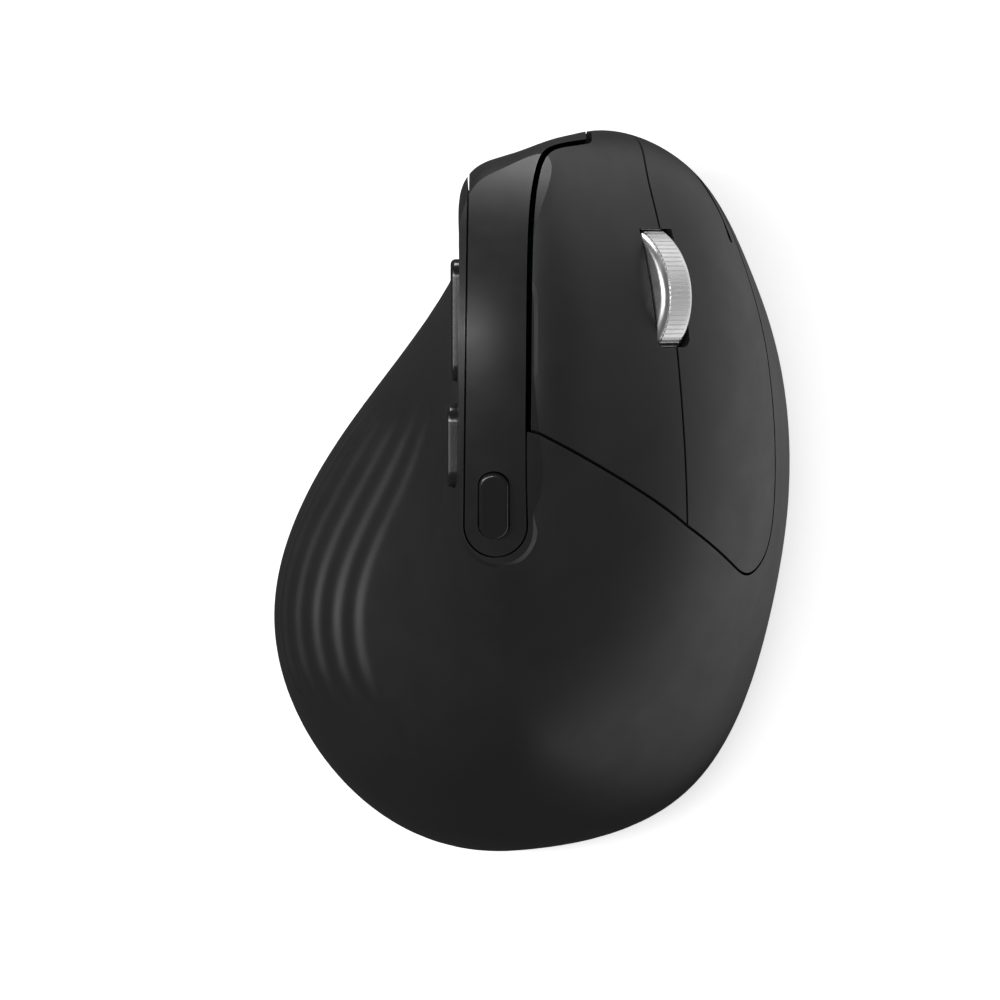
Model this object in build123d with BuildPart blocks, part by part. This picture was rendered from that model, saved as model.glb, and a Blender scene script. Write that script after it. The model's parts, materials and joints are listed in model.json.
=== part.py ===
from build123d import *
from math import cos, radians, sin
import os
import numpy as np
from scipy.interpolate import CubicSpline

# Right-hand vertical computer mouse, millimetres.
# +Z is up from the desk, +Y is forward (fingertips), +X is towards the finger side.
# The origin is on the desk under the middle of the body; the glide feet rest on z = 0.

# ---------------------------------------------------------------- body form
# Plan outline of the body at each height, clockwise from the heel: heel, heel left, flare,
# flare front, waist, wall, corner side, corner front, slant, nose, nose right,
# outer front, outer side, outer rear, heel right.
OUTLINES = {
    0.8: [(-3.5, -56.6), (-30.4, -45.8), (-41.4, -20), (-33.8, 4.5), (-19.6, 24),
          (-11.0, 39), (-8.2, 44.2), (-5.6, 47.4), (2.6, 51.4), (10, 53.4),
          (22.6, 48.6), (34.8, 35.5), (41.2, 8), (38.5, -17.5), (24.2, -47.4)],
    8: [(-3.5, -58.9), (-31.6, -47.5), (-43.3, -20), (-35.7, 4.8), (-20.8, 25.8),
        (-11.3, 41), (-8.8, 46), (-6.2, 49.3), (2, 53), (9.5, 55.0),
        (23.5, 50.4), (36.0, 36), (42.6, 8), (39.8, -18), (25.6, -49.0)],
    20: [(-3.8, -54.8), (-29.2, -43.7), (-39.3, -18.5), (-30.8, 4.8), (-18.6, 24.7),
         (-11.8, 41), (-10, 47.5), (-7.6, 50.4), (1, 54.6), (9.6, 57.4),
         (24.6, 52.8), (36.0, 36.5), (41, 8), (37.5, -17), (22.4, -44.7)],
    34: [(-4.5, -45.5), (-20.4, -37), (-26, -17), (-18.5, 4), (-14.0, 24),
         (-12.1, 41), (-11.2, 48.4), (-9.2, 50.9), (0, 55.2), (10.2, 59.2),
         (23.6, 54.0), (32.4, 36), (34.8, 9), (30.5, -14), (16, -36.5)],
    48: [(-5.5, -31.5), (-13, -25), (-16.3, -12), (-14, 5), (-12.8, 24),
         (-12.1, 41), (-11.4, 48.9), (-10.0, 50.9), (-1.5, 54.6), (7.0, 57.6),
         (15.0, 50.5), (21.6, 35), (24.2, 11), (19.6, -9.5), (8, -25)],
    60: [(-6, -13.5), (-9.8, -10.5), (-12.2, -3), (-12.4, 8), (-12.3, 24),
         (-11.9, 41), (-11.3, 48.8), (-10.1, 50.6), (-3.8, 53.3), (2.2, 54.2),
         (6.4, 47.5), (10.2, 34), (11.8, 13), (7.6, -2), (-0.5, -11)],
    72: [(-6, 1), (-9, 3), (-11.2, 7), (-11.9, 14), (-12.0, 24),
         (-11.9, 36), (-11.3, 41.2), (-10.2, 42.6), (-6.5, 43.2), (-3, 42.8),
         (-1.6, 38), (-1.0, 29), (-0.8, 16), (-2.5, 6), (-4, 2)],
}
TOP_OUTLINE = 72.0
LEVELS = [0.8, 4, 8, 12, 16, 20, 24, 29, 34, 41, 48, 54, 60, 66, 72, 78]

# Ridge of the top: (y, z) from behind the strip to beyond the nose, and the crown across it.
RIDGE = [(-24, 58.4), (-10.4, 62.6), (0, 67.0), (10, 70.6), (20, 72.7), (27, 73.1),
         (34, 72.4), (41, 70.4), (47, 67.4), (51.5, 64.4), (56, 60.4), (64, 49)]
CROWN_X = -7.5
CROWN_REACH = 26.5
CROWN_FALL = 13.8
SKY = 110.0
INTO = 0.5        # how far a piece of a solid reaches into the one that carries it

WALL = 2.2
ROOF_DROP = 1.0
FIN_ROOF = 3.3
STRIP_THICKNESS = 1.5
STRIP_DROP = 0.6
GLUE_LINE = 0.1

# Raised collar round the strip
COLLAR_X = -5.75
COLLAR_MIDDLE_Y = 12.6
COLLAR_REACH = 23.5
COLLAR_WIDTH = 11.9
COLLAR_BOTTOM = 50.0
COLLAR_CHAMFER = 0.7

# ---------------------------------------------------------------- base
FOOT_HEIGHT = 0.8
FLOOR_TOP = 3.2
PARTING = 6.0
PARTING_GAP = 0.05
POST_RADIUS = 3.0
PILOT_RADIUS = 0.95
PILOT_TOP = 14.0
SHELL_POSTS = [(-33, -20), (-4, -46), (30.8, -28)]
NOSE_POST = (-4.5, 46.0)
NOSE_POST_TOP = 30.0
FRAME_LEGS = [(0, 40), (2, 12), (30.8, 2), (22, 38)]
SCREW_HEAD_RADIUS = 1.9
SCREW_HEAD_BOTTOM = 0.95
SCREW_HEAD_TOP = 2.25
SCREW_SHANK_RADIUS = 0.9
SCREW_TIP = 12.0
COUNTERBORE_RADIUS = 2.2
COUNTERBORE_TOP = 2.3
SCREW_CLEARANCE_RADIUS = 1.1
SCREW_RECESS = (2.2, 0.5)
SCREW_RECESS_DEPTH = 0.6
BOARD_SCREW_HEAD = 1.1
LOW_SCREW_HEAD = 1.0

# ---------------------------------------------------------------- finger side
# The finger plane touches the finger side at the wheel: x runs down the slope, y forward.
FINGER_ORIGIN = (20.9, 33.2, 49.2)
FINGER_NORMAL = Vector(0.72, 0.12, 0.68).normalized()
FINGER_TURN = 0.1153
forward_flat = Vector(-FINGER_TURN, 1, 0)
forward_rise = -forward_flat.dot(FINGER_NORMAL) / FINGER_NORMAL.Z
FINGER_FORWARD = Vector(-FINGER_TURN, 1, forward_rise).normalized()
FINGER_ACROSS = FINGER_FORWARD.cross(FINGER_NORMAL)
FINGER = Plane(origin=FINGER_ORIGIN, x_dir=FINGER_ACROSS, z_dir=FINGER_NORMAL)

NOSE_SEAM = (9.5, 29)
SEAM = [NOSE_SEAM, (6.2, 25), (2.9, 20.4), (0.9, 9.4), (0.4, -9.9), (1.2, -23), (3.5, -37.5)]
REAR_LEFT = [(3.5, -37.5), (-16.8, -27.4), (-30.6, -21.5), (-33.8, -20.2)]
UNDER_STRIP = [(-33.8, -20.2), (-33.8, 4), (-30.5, 14), (-24, 25), (-16, 29), NOSE_SEAM]
REAR_RIGHT_END = (18.2, -44.4)
OUTER = [(23.4, -45.6), (28.3, -42.6), (29.9, -34.8), (28.4, -14.6), (24.4, 3.8), (17.8, 18), (14, 29)]
OUTER_START = (0.91, -0.41)
OUTER_END = (-0.3, 1.0)
KEY_TOP = 12.0
LEFT_KEY_LOW = -11.5
RIGHT_KEY_LOW = -16.0
NOSE_LINE = 14.0
NOSE_LIP = -11.5
NOSE_GAP = 1.0
SEAM_HALF = 0.23
REDRAW_STEP = 4.0

# Button hinges, parallel to the rear seam
HINGE_START = (-29.1, -18.3)
HINGE_DIRECTION = (0.905, -0.425)
HINGE_DEPTH = 12.0
PEG_RADIUS = 1.2
RUNNING = 0.05
PEG_LENGTH = 2.7
LUG_WIDTH = 2.4
LUG_DEPTH = 5.0
LUG_BELOW = 2.2
EAR_WIDTH = 2.3
EAR_GAP = 0.3
EAR_ABOVE = 2.2
LEFT_LUGS = [(16.2, -1), (28.7, 1)]
RIGHT_LUGS = [(39.7, -1), (46.7, 1)]

# ---------------------------------------------------------------- wheel
WHEEL_X = -0.3
WHEEL_DEPTH = 9.7
WHEEL_RADIUS = 12.5
WHEEL_WIDTH = 7.0
WHEEL_PLAY = 0.5
TREAD_WIDTH = 4.6
SHOULDER = 1.0
TYRE_INNER = 9.6
GROOVES = 100
GROOVE_RADIUS = 0.14
HUB_RIM = 8.6
HUB_WIDTH = 6.4
WEB_THICKNESS = 1.6
HUB_BOSS_RADIUS = 2.6
HUB_BOSS_WIDTH = 8.0
AXLE_RADIUS = 1.5
AXLE_LENGTH = 12.6
ENCODER_WINDOWS = 15
WINDOW_RADIUS = 7.0
WINDOW_LENGTH = 2.8
WINDOW_WIDTH = 1.3
SLOT_X = -0.2
SLOT_Y = -0.55
SLOT_WIDTH = 7.8
SLOT_LENGTH = 17.9
SLOT_CORNER = 1.6

# Wheel cradle (tilts down for the middle click)
ARM_INNER = 4.3
ARM_THICKNESS = 1.4
ARM_LOW = -12.2
ARM_HIGH = -7.4
ARM_REAR = -19.4
ARM_FRONT = 18.6
CRADLE_PIVOT_Y = -17.4
CRADLE_PIVOT_DEPTH = 9.8
CRADLE_PEG = 2.5
FRONT_BAR_LOW = -8.95
FRONT_BAR_HIGH = -7.2
BAR_WIDTH = 4.0
REAR_BAR_WIDTH = 2.4

# ---------------------------------------------------------------- key board and frame
FRAME_LOW = -16.6
FRAME_HIGH = -14.6
BOARD_THICKNESS = 1.6
BOARD_TOP = FRAME_HIGH + BOARD_THICKNESS
FRAME_OUTLINE = [(-18.5, -27.5), (-18.5, 11), (-10, 21), (10, 21), (23.5, 12),
                 (23.5, -24), (29.6, -28), (29.6, -33), (23.5, -37), (18, -44.5)]
BOARD_OUTLINE = [(-16, -17), (-16, 11), (-9, 20.5), (9, 20.5), (19, 13), (19, -29)]
WHEEL_WINDOW = 19.0
WHEEL_WINDOW_LENGTH = 28.0
BOARD_SLOT = 9.2
BOARD_SLOT_LENGTH = 26.6
EAR_NOTCH_X = 19.0
EAR_NOTCH_Y = 6.6
KEY_SCREWS = [(-12.5, 11.5), (14, 9), (-12, -13), (14, -22)]
KEY_SCREW_BOSS = 2.2
KEY_SCREW_BOSS_HEIGHT = 3.0
PILOT_END = 0.5
CRADLE_EAR = 2.0
KEY_SCREW_LENGTH = 5.6
SHORT_SCREW_LENGTH = 5.1

SWITCH_LENGTH = 12.8
SWITCH_WIDTH = 5.8
SWITCH_HEIGHT = 6.5
LEFT_SWITCH = (-12, 2)
RIGHT_SWITCH = (13, -2)
PLUNGER_LENGTH = 2.8
PLUNGER_WIDTH = 1.2
PLUNGER_TOP = -5.7
PLUNGER_HEIGHT = 2.5
PLUNGER_PLAY = 0.05
POCKET_DEPTH = 2.6
NUB_RADIUS = 1.2
NUB_GAP = 0.05

TACT_SIZE = 6.0
TACT_HEIGHT = 3.5
TACT_Y = 16.6
TACT_PLUNGER_RADIUS = 1.7
TACT_PLUNGER_PROUD = 0.5
TACT_PLUNGER_HEIGHT = 1.6
TACT_POCKET = 1.6

SCROLL_OFFSET = 5.7
SCROLL_WIDTH = 3.0
SCROLL_LENGTH = 4.4
SCROLL_HEIGHT = 4.5

# ---------------------------------------------------------------- top strip
STRIP_REAR_LEFT = (-11.05, -4.0)
STRIP_REAR_END = (-6.3, -9.0)
STRIP_FRONT_LEFT = (-10.4, 46.5)
STRIP_BEYOND = 66.0
STRIP_RIGHT = [(8.0, 56.7), (4.2, 55.6), (1.3, 54.1), (-0.2, 50.7), (-1.0, 45.9), (-1.4, 39.6),
               (-1.6, 30.3), (-1.7, 18), (-1.75, 5), (-1.55, -4.0)]
STRIP_LOW = 34.0
STRIP_GAP = 0.3
STRIP_SKIRT = 3.5
STRIP_FOLD_Y = 48.0
STRIP_SEAM = 0.9

# ---------------------------------------------------------------- sensitivity button
DPI_ORIGIN = (-6.6, -1.2, 66.6)
DPI_SLOPE = 21.4
DPI_WIDTH = 4.6
DPI_LENGTH = 11.0
DPI_PROUD = 0.7
DPI_ROUNDING = 0.6
DPI_PLAY = 0.2
DPI_FLANGE = 0.6
DPI_FLANGE_TOP = -3.7
DPI_FLANGE_BOTTOM = -4.3
DPI_TRAVEL_ROOM = 0.6
DPI_STEM_BOTTOM = -4.8
DPI_BOARD_TOP = -7.9
DPI_BOARD_WIDTH = 9.0
DPI_BOARD_LENGTH = 15.6
DPI_BOARD_CENTRE = (2.6, -3.3)
DPI_SCREWS = [(0, -8.6), (5.05, 1.8)]
DPI_ROOF_DEPTH = -2.2
SMALL_TACT = 4.5
SMALL_TACT_HEIGHT = 2.5
SMALL_TACT_CORNER = 0.4
SMALL_PLUNGER_RADIUS = 1.0
SMALL_PLUNGER_PROUD = 0.55
SMALL_PLUNGER_HEIGHT = 1.6
SMALL_POCKET = 1.5
BOSS_RADIUS = 1.9
THIN_BOARD = 1.2

# ---------------------------------------------------------------- side buttons
SIDE_FORWARD = (27.6, 61.4, 19.0)
SIDE_BACK = (8.2, 58.4, 13.0)
SIDE_STEM_SHIFT = 1.5
SIDE_HEIGHT = 5.2
FORWARD_FACE = -13.3
BACK_FACE = -14.0
SIDE_FLANGE = 0.8
# Outer and inner face of each button's flange; the forward one clears the thicker front wall
FORWARD_FLANGE = (-9.3, -8.6)
BACK_FLANGE = (-9.9, -9.0)
SIDE_STEM_X = -7.8
SIDE_STEM_RADIUS = 1.3
SIDE_PLAY = 0.2
SIDE_TILT = 5.0
SIDE_BOARD_X = -4.7
SIDE_BOARD = [(6.7, 56.4), (6.7, 62.2), (41.4, 64.2), (41.4, 56.4)]
SIDE_POSTS = [(16.4, 60.0), (39.2, 62.0)]
SIDE_POST_RADIUS = 1.5
SIDE_POST_LENGTH = 6.2

# ---------------------------------------------------------------- power
CELL_X = 17.5
CELL_RADIUS = 7.25
CELL_CENTRE_Z = 11.3
CELL_REAR = -28.5
CELL_LENGTH = 49.5
CELL_ROUNDING = 0.5
CELL_NUB_RADIUS = 2.75
CELL_NUB_LENGTH = 1.0
CONTACT_THICKNESS = 0.4
CONTACT_SIZE = 12.0
CONTACT_CORNER = 1.0
SPRING_LENGTH = 5.4
SPRING_RADIUS = 3.2
SPRING_PITCH = 1.35
SPRING_WIRE = 0.35
BAY_WIDTH = 16.8
BAY_REAR = -35.4
BAY_FRONT = 22.6
BAY_WALL = 1.4
BAY_TOP = 11.0
DOOR_LEDGE = 1.4
DOOR_GAP = 0.25
DOOR_LID_TOP = 2.1
DOOR_LID_PLAY = 0.1
DOOR_CORNER = 3.0
DOOR_GRIP_RADIUS = 5.0
DOOR_GRIP_DEPTH = 0.5

RECEIVER_X = -12.0
RECEIVER_Y = -26.0
RECEIVER_PLUG = (12.0, 12.0, 4.4)
RECEIVER_CAP = (6.6, 14.4, 5.4)
RECEIVER_BOTTOM = 1.0
RECEIVER_CORNER = 1.2
RECEIVER_PLAY = 0.25
RECEIVER_WALL = 1.1
RECEIVER_ROOF = 7.2

# ---------------------------------------------------------------- main board and optics
MAIN_BOARD_BOTTOM = 7.4
MAIN_BOARD_TOP = 9.0
MAIN_OUTLINE = [(-28.5, -12), (-20, -34), (6.5, -36), (6.5, 33), (-5, 33), (-13, 18), (-24, 4)]
MAIN_SCREWS = [(-25, -12), (3.5, -30), (0, 26)]
LEG_CLEARANCE = 3.6
SENSOR_X = -7.0
SENSOR_Y = -2.0
LENS_WIDTH = 11.0
LENS_LENGTH = 17.0
LENS_CORNER = 1.0
LENS_RING = 3.4
LENS_RING_BOTTOM = 1.4
LENS_TOP = 7.3
SENSOR_WIDTH = 9.0
SENSOR_LENGTH = 11.0
SENSOR_HEIGHT = 2.2
SENSOR_CORNER = 0.5
SENSOR_EYE_RADIUS = 1.2
SENSOR_EYE_DEPTH = 1.0
SENSOR_WINDOW = (6.0, 9.0)
OPTIC_HOLE = (8.0, 10.0)
OPTIC_CORNER = 1.5
POWER_X = -20.0
POWER_Y = -3.6
POWER_BODY = (4.0, 9.0)
POWER_BODY_BOTTOM = 3.7
POWER_SLOT_DEPTH = 1.6
POWER_TRAVEL = 2.5
KNOB = (2.4, 3.2)
KNOB_BOTTOM = 1.3
KNOB_PLAY = 0.2
KNOB_GROOVES = (-0.9, 0, 0.9)
KNOB_GROOVE_WIDTH = 0.3
KNOB_GROOVE_DEPTH = 0.25
KNOB_WELL = (4.4, 8.4)
KNOB_WELL_CORNER = 0.8
KNOB_WELL_TOP = 2.0

FEET = [((8, 45.5), 24, 6.5, -6), ((-31.5, -24), 6.5, 24, -12), ((2, -50.0), 28, 6.0, 2),
        ((34.6, -8), 6.0, 24, -4)]
FOOT_CORNER = 2.8

os.makedirs("parts", exist_ok=True)


def save(builder, name):
    """Label one finished piece and write its file."""
    builder.part.label = name
    export_step(builder.part, f"parts/{name}.step")


# ================================================================ shared forms
heights = list(OUTLINES)
outline_curve = CubicSpline(heights, np.array([OUTLINES[h] for h in heights], float), axis=0)


def outline(height, inset):
    """Plan points of the body at one height, moved inward by the inset."""
    points = np.array(outline_curve(min(height, TOP_OUTLINE)))
    ahead = np.roll(points, -1, axis=0) - points
    behind = points - np.roll(points, 1, axis=0)
    ahead = ahead / np.sum(ahead * ahead, axis=1)[:, None]
    behind = behind / np.sum(behind * behind, axis=1)[:, None]
    along = ahead + behind
    along = along / np.linalg.norm(along, axis=1)[:, None]
    points[:, 0] += inset * along[:, 1]
    points[:, 1] -= inset * along[:, 0]
    return [tuple(point) for point in points]


def lofted_form(inset, drop):
    """Smooth body through every outline, shrunk inward by inset and lowered by drop."""
    with BuildPart() as form:
        for level in LEVELS:
            with BuildSketch(Plane.XY.offset(level - drop)):
                with BuildLine():
                    Spline(*outline(level, inset), periodic=True)
                make_face()
        loft()
    return form.part


def above_ridge(drop):
    """Everything above the crowned top surface, which is lowered by drop."""
    with BuildPart() as sky:
        for y, z in RIDGE:
            edge = z - CROWN_FALL - drop
            left = CROWN_X - CROWN_REACH
            right = CROWN_X + CROWN_REACH
            with BuildSketch(Plane.XZ.offset(-y)):
                with BuildLine():
                    ThreePointArc((left, edge), (CROWN_X, z - drop), (right, edge))
                    Polyline((right, edge), (right, SKY), (left, SKY), (left, edge))
                make_face()
        loft()
    return sky.part


sky_part = above_ridge(0)

with BuildPart() as collar:
    with BuildSketch(Plane.XY.offset(COLLAR_BOTTOM)):
        with Locations((COLLAR_X, COLLAR_MIDDLE_Y)):
            SlotOverall(2 * COLLAR_REACH, COLLAR_WIDTH, rotation=90)
    extrude(amount=SKY - COLLAR_BOTTOM)
    add(sky_part, mode=Mode.SUBTRACT)
    chamfer(collar.edges().filter_by(lambda e: e.center().Z > COLLAR_BOTTOM + 8
                                     and e.geom_type == GeomType.BSPLINE), COLLAR_CHAMFER)

with BuildPart() as body:
    add(lofted_form(0, 0))
    add(sky_part, mode=Mode.SUBTRACT)
    add(collar.part)

# Surface that the strip's underside follows
with BuildPart() as under_strip:
    add(lofted_form(STRIP_THICKNESS, STRIP_DROP))
    add(above_ridge(STRIP_THICKNESS), mode=Mode.SUBTRACT)

with BuildPart() as strip_bed:
    add(lofted_form(STRIP_THICKNESS + GLUE_LINE, STRIP_DROP + GLUE_LINE))
    add(above_ridge(STRIP_THICKNESS + GLUE_LINE), mode=Mode.SUBTRACT)

with BuildPart() as cavity:
    add(lofted_form(WALL, ROOF_DROP))
    add(above_ridge(FIN_ROOF), mode=Mode.SUBTRACT)

with BuildPart() as skin:
    add(body.part)
    add(cavity.part, mode=Mode.SUBTRACT)


def post(x, y, radius, low, high):
    """Upright round post between two heights."""
    with BuildPart() as upright:
        with BuildSketch(Plane.XY.offset(low)):
            with Locations((x, y)):
                Circle(radius)
        extrude(amount=high - low)
    return upright.part


def box_between(low, high):
    """Block between two opposite corners."""
    size = [b - a for a, b in zip(low, high)]
    middle = [(a + b) / 2 for a, b in zip(low, high)]
    with BuildPart() as block:
        with Locations(tuple(middle)):
            Box(*size)
    return block.part


def finger_disc(x, y, radius, low, high):
    """Round post square to the finger plane."""
    with BuildPart() as disc:
        with BuildSketch(FINGER.offset(low)):
            with Locations((x, y)):
                Circle(radius)
        extrude(amount=high - low)
    return disc.part


def finger_box(x, y, width, length, low, high):
    """Block square to the finger plane."""
    with BuildPart() as block:
        with BuildSketch(FINGER.offset(low)):
            with Locations((x, y)):
                Rectangle(width, length)
        extrude(amount=high - low)
    return block.part


def finger_plate(points, low, high):
    """Flat plate with a straight-sided outline, parallel to the finger plane."""
    with BuildPart() as plate:
        with BuildSketch(FINGER.offset(low)):
            with BuildLine():
                Polyline(*points, close=True)
            make_face()
        extrude(amount=high - low)
    return plate.part


def grown(region, amount):
    """Region grown sideways, with its curved sides redrawn as smooth splines."""
    with BuildSketch() as wide:
        add(region)
        offset(amount=amount)
    with BuildSketch() as smooth:
        with BuildLine():
            for edge in wide.face().outer_wire().order_edges():
                if edge.geom_type == GeomType.OFFSET:
                    count = max(2, round(edge.length / REDRAW_STEP))
                    points = [edge @ (step / count) for step in range(count + 1)]
                    Spline(*points, tangents=(edge % 0, edge % 1))
                else:
                    add(edge)
        make_face()
    return smooth.sketch


# ================================================================ button regions
def left_region(grow, low):
    """Column over the left button, grown sideways, from one depth up past the surface."""
    with BuildSketch() as region:
        with BuildLine():
            Polyline(*UNDER_STRIP)
            Spline(*SEAM)
            Spline(*REAR_LEFT)
        make_face()
    with BuildPart() as column:
        with BuildSketch(FINGER.offset(low)):
            add(grown(region.sketch, grow))
        extrude(amount=KEY_TOP - low)
    return column.part


def right_region(grow, low, nose_low):
    """Column over the right button, with a shallower front so that it ends in a lip."""
    with BuildSketch() as region:
        with BuildLine():
            Spline(*SEAM)
            Line(SEAM[-1], REAR_RIGHT_END)
            Spline(REAR_RIGHT_END, *OUTER, tangents=(OUTER_START, OUTER_END))
            Line(OUTER[-1], NOSE_SEAM)
        make_face()
    with BuildPart() as column:
        with BuildSketch(FINGER.offset(low)):
            add(grown(region.sketch, grow))
        extrude(amount=KEY_TOP - low)
        with BuildSketch(FINGER.offset(low)):
            with Locations((0, NOSE_LINE + SKY / 2)):
                Rectangle(SKY, SKY)
        extrude(amount=nose_low - low, mode=Mode.SUBTRACT)
    return column.part


def strip_column(grow, low):
    """Column over the top strip, grown sideways."""
    with BuildSketch() as region:
        with BuildLine():
            ThreePointArc(STRIP_RIGHT[-1], STRIP_REAR_END, STRIP_REAR_LEFT)
            Line(STRIP_REAR_LEFT, STRIP_FRONT_LEFT)
            Polyline(STRIP_FRONT_LEFT, (STRIP_FRONT_LEFT[0], STRIP_BEYOND),
                     (STRIP_RIGHT[0][0], STRIP_BEYOND), STRIP_RIGHT[0])
            Spline(*STRIP_RIGHT)
        make_face()
    with BuildPart() as column:
        with BuildSketch(Plane.XY.offset(low)):
            if grow:
                add(grown(region.sketch, grow))
            else:
                add(region.sketch)
        extrude(amount=SKY - low)
    return column.part


def strip_zone(grow):
    """Space the strip takes: shallow along the top, deep over the front fold."""
    with BuildPart() as zone:
        add(above_ridge(STRIP_SKIRT + grow))
        add(box_between((-SKY, STRIP_FOLD_Y - grow, STRIP_LOW), (SKY, STRIP_BEYOND, SKY)))
        add(strip_column(grow, STRIP_LOW - grow), mode=Mode.INTERSECT)
    return zone.part


wheel_centre = FINGER.from_local_coords(Vector(WHEEL_X, 0, -WHEEL_DEPTH))
WHEEL = Plane(origin=wheel_centre, x_dir=FINGER_FORWARD, z_dir=FINGER_ACROSS)

# Slot for the wheel, hollowed round the wheel on the underside of the buttons
with BuildPart() as wheel_slot:
    with BuildSketch(FINGER.offset(LEFT_KEY_LOW - NOSE_GAP)):
        with Locations((SLOT_X, SLOT_Y)):
            RectangleRounded(SLOT_WIDTH, SLOT_LENGTH, SLOT_CORNER)
    extrude(amount=KEY_TOP - LEFT_KEY_LOW)
    with BuildSketch(WHEEL.offset(SLOT_X - WHEEL_X - SLOT_WIDTH / 2)):
        Circle(WHEEL_RADIUS + WHEEL_PLAY)
    extrude(amount=SLOT_WIDTH)

with BuildPart() as left_opening:
    add(left_region(SEAM_HALF, LEFT_KEY_LOW - NOSE_GAP))
    add(strip_column(0, 0), mode=Mode.SUBTRACT)

with BuildPart() as right_opening:
    add(right_region(SEAM_HALF, RIGHT_KEY_LOW, NOSE_LIP - NOSE_GAP))

hinge_axis = (FINGER_ACROSS * HINGE_DIRECTION[0] + FINGER_FORWARD * HINGE_DIRECTION[1]).normalized()
hinge_origin = FINGER.from_local_coords(Vector(HINGE_START[0], HINGE_START[1], -HINGE_DEPTH))
HINGE = Plane(origin=hinge_origin, x_dir=hinge_axis, z_dir=FINGER_NORMAL)


def button_lugs(lugs):
    """Hinge lugs with their pegs, reaching up into the button's skin."""
    with BuildPart() as arms:
        for along, side in lugs:
            with BuildSketch(HINGE.offset(-LUG_BELOW)):
                with Locations((along, 0)):
                    Rectangle(LUG_WIDTH, LUG_DEPTH)
            extrude(amount=HINGE_DEPTH + KEY_TOP)
        add(under_strip.part, mode=Mode.INTERSECT)
        for along, side in lugs:
            face = along + side * LUG_WIDTH / 2
            start = HINGE.from_local_coords(Vector(face, 0, 0))
            with BuildSketch(Plane(origin=start, z_dir=hinge_axis * side)):
                Circle(PEG_RADIUS)
            extrude(amount=PEG_LENGTH)
    return arms.part


def button_nub(place):
    """Post under a button that bears on its switch plunger."""
    with BuildPart() as nub:
        add(finger_disc(*place, NUB_RADIUS, PLUNGER_TOP + NUB_GAP, KEY_TOP))
        add(under_strip.part, mode=Mode.INTERSECT)
    return nub.part


with BuildPart() as left_button:
    add(skin.part)
    add(left_region(-SEAM_HALF, LEFT_KEY_LOW), mode=Mode.INTERSECT)
    add(strip_column(STRIP_SEAM, 0), mode=Mode.SUBTRACT)
    add(wheel_slot.part, mode=Mode.SUBTRACT)
    add(button_lugs(LEFT_LUGS))
    add(button_nub(LEFT_SWITCH))
save(left_button, "left_button")

with BuildPart() as right_button:
    add(skin.part)
    add(right_region(-SEAM_HALF, RIGHT_KEY_LOW, NOSE_LIP), mode=Mode.INTERSECT)
    add(wheel_slot.part, mode=Mode.SUBTRACT)
    add(button_lugs(RIGHT_LUGS))
    add(button_nub(RIGHT_SWITCH))
save(right_button, "right_button")


# ================================================================ top strip
DPI = Plane(origin=DPI_ORIGIN, x_dir=(1, 0, 0),
            z_dir=(0, -sin(radians(DPI_SLOPE)), cos(radians(DPI_SLOPE))))


def dpi_pill(width, length, low, high):
    """Pill-shaped column square to the rear end of the strip."""
    with BuildPart() as pill:
        with BuildSketch(DPI.offset(low)):
            SlotOverall(length, width, rotation=90)
        extrude(amount=high - low)
    return pill.part


dpi_hole = dpi_pill(DPI_WIDTH + 2 * DPI_PLAY, DPI_LENGTH + 2 * DPI_PLAY, DPI_FLANGE_TOP, KEY_TOP)
dpi_room = dpi_pill(DPI_WIDTH + 2 * (DPI_FLANGE + DPI_PLAY), DPI_LENGTH + 2 * (DPI_FLANGE + DPI_PLAY),
                    DPI_FLANGE_BOTTOM - DPI_TRAVEL_ROOM, DPI_FLANGE_TOP + DPI_PLAY)

with BuildPart() as top_strip:
    add(body.part)
    add(strip_zone(0), mode=Mode.INTERSECT)
    add(under_strip.part, mode=Mode.SUBTRACT)
    add(dpi_hole, mode=Mode.SUBTRACT)
save(top_strip, "top_strip")

with BuildPart() as dpi_button:
    with BuildSketch(DPI.offset(DPI_STEM_BOTTOM)):
        Circle(SIDE_STEM_RADIUS)
    extrude(amount=DPI_FLANGE_BOTTOM - DPI_STEM_BOTTOM)
    with BuildSketch(DPI.offset(DPI_FLANGE_BOTTOM)):
        SlotOverall(DPI_LENGTH + 2 * DPI_FLANGE, DPI_WIDTH + 2 * DPI_FLANGE, rotation=90)
    extrude(amount=DPI_FLANGE_TOP - DPI_FLANGE_BOTTOM)
    with BuildSketch(DPI.offset(DPI_FLANGE_TOP)):
        SlotOverall(DPI_LENGTH, DPI_WIDTH, rotation=90)
    extrude(amount=DPI_PROUD - DPI_FLANGE_TOP)
    fillet(dpi_button.edges().group_by(lambda e: round(DPI.to_local_coords(e.center()).Z, 1))[-1],
           DPI_ROUNDING)
save(dpi_button, "dpi_button")

with BuildPart() as dpi_board:
    with BuildSketch(DPI.offset(DPI_BOARD_TOP - THIN_BOARD)):
        with Locations(DPI_BOARD_CENTRE):
            Rectangle(DPI_BOARD_WIDTH, DPI_BOARD_LENGTH)
        with Locations(*DPI_SCREWS):
            Circle(SCREW_CLEARANCE_RADIUS, mode=Mode.SUBTRACT)
    extrude(amount=THIN_BOARD)
save(dpi_board, "dpi_board")


def small_tact(plane, places):
    """Small tactile switch bodies with a pocket for each plunger."""
    with BuildPart() as bodies:
        with BuildSketch(plane):
            with Locations(*places):
                RectangleRounded(SMALL_TACT, SMALL_TACT, SMALL_TACT_CORNER)
        extrude(amount=SMALL_TACT_HEIGHT)
        with BuildSketch(plane.offset(SMALL_TACT_HEIGHT)):
            with Locations(*places):
                Circle(SMALL_PLUNGER_RADIUS + RUNNING)
        extrude(amount=-SMALL_POCKET, mode=Mode.SUBTRACT)
    return bodies


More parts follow.
